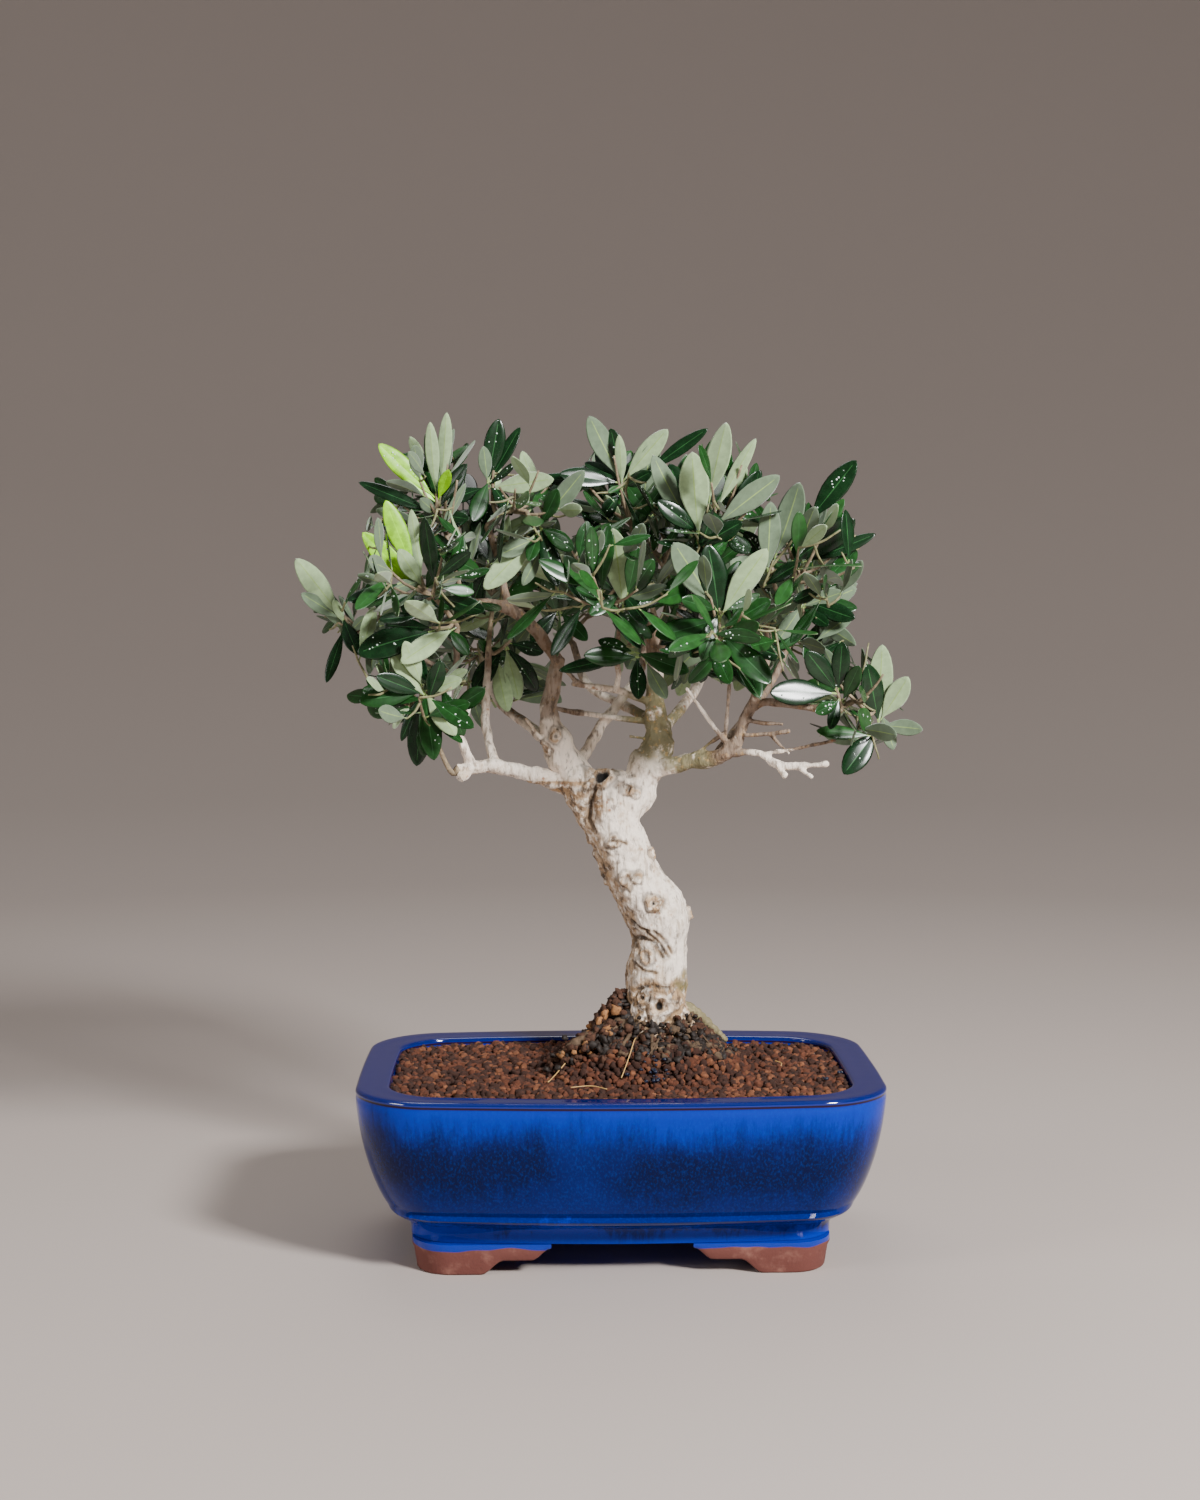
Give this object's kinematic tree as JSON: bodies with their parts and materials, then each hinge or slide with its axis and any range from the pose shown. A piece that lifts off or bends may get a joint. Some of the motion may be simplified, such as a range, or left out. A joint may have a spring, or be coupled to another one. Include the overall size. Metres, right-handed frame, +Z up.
{
  "type": "potted olive bonsai",
  "caption": "Small olive tree with a leaning forked trunk and open leafy crown, standing in a rectangular glazed pot on bracket feet.",
  "frame": {"origin": "centre of the bounding box at the ground, on the flat undersides of the four feet", "axes": "+Z up, -Y to the pot's long front side, +X to the right of someone who faces the front"},
  "size_m": [0.2558, 0.2008, 0.3377],
  "materials": {
    "glaze": "gloss",
    "clay": "matte",
    "soil": "matte",
    "bark": "matte",
    "foliage": "satin"
  },
  "bodies": {
    "root": {"bough_back_centre": "bark", "bough_back_left": "bark", "bough_back_right": "bark", "bough_centre_cut": "bark", "bough_centre_left": "bark", "bough_centre_left_tip": "bark", "bough_centre_riser": "bark", "bough_diagonal": "bark", "bough_left": "bark", "bough_left_brown": "bark", "bough_left_out": "bark", "bough_left_riser": "bark", "bough_right": "bark", "bough_right_back": "bark", "bough_right_branch": "bark", "bough_right_low": "bark", "bough_right_out": "bark", "bough_right_up": "bark", "bough_right_upper": "bark", "bough_top_left": "bark", "bough_top_right": "bark", "foliage_back_centre": "foliage", "foliage_back_left": "foliage", "foliage_back_right": "foliage", "foliage_centre": "foliage", "foliage_left_low": "foliage", "foliage_left_rear": "foliage", "foliage_left_tip": "foliage", "foliage_left_top": "foliage", "foliage_left_upper": "foliage", "foliage_right_front": "foliage", "foliage_right_low": "foliage", "foliage_right_mid": "foliage", "foliage_right_upper": "foliage", "foliage_top_centre": "foliage", "foliage_top_left": "foliage", "foliage_top_rear": "foliage", "foliage_top_right": "foliage", "foot_back_left": "clay", "foot_back_right": "clay", "foot_front_left": "clay", "foot_front_right": "clay", "grit": "soil", "pot": "glaze", "root_left": "bark", "root_right": "bark", "trunk": "bark"}
  },
  "joints": []
}
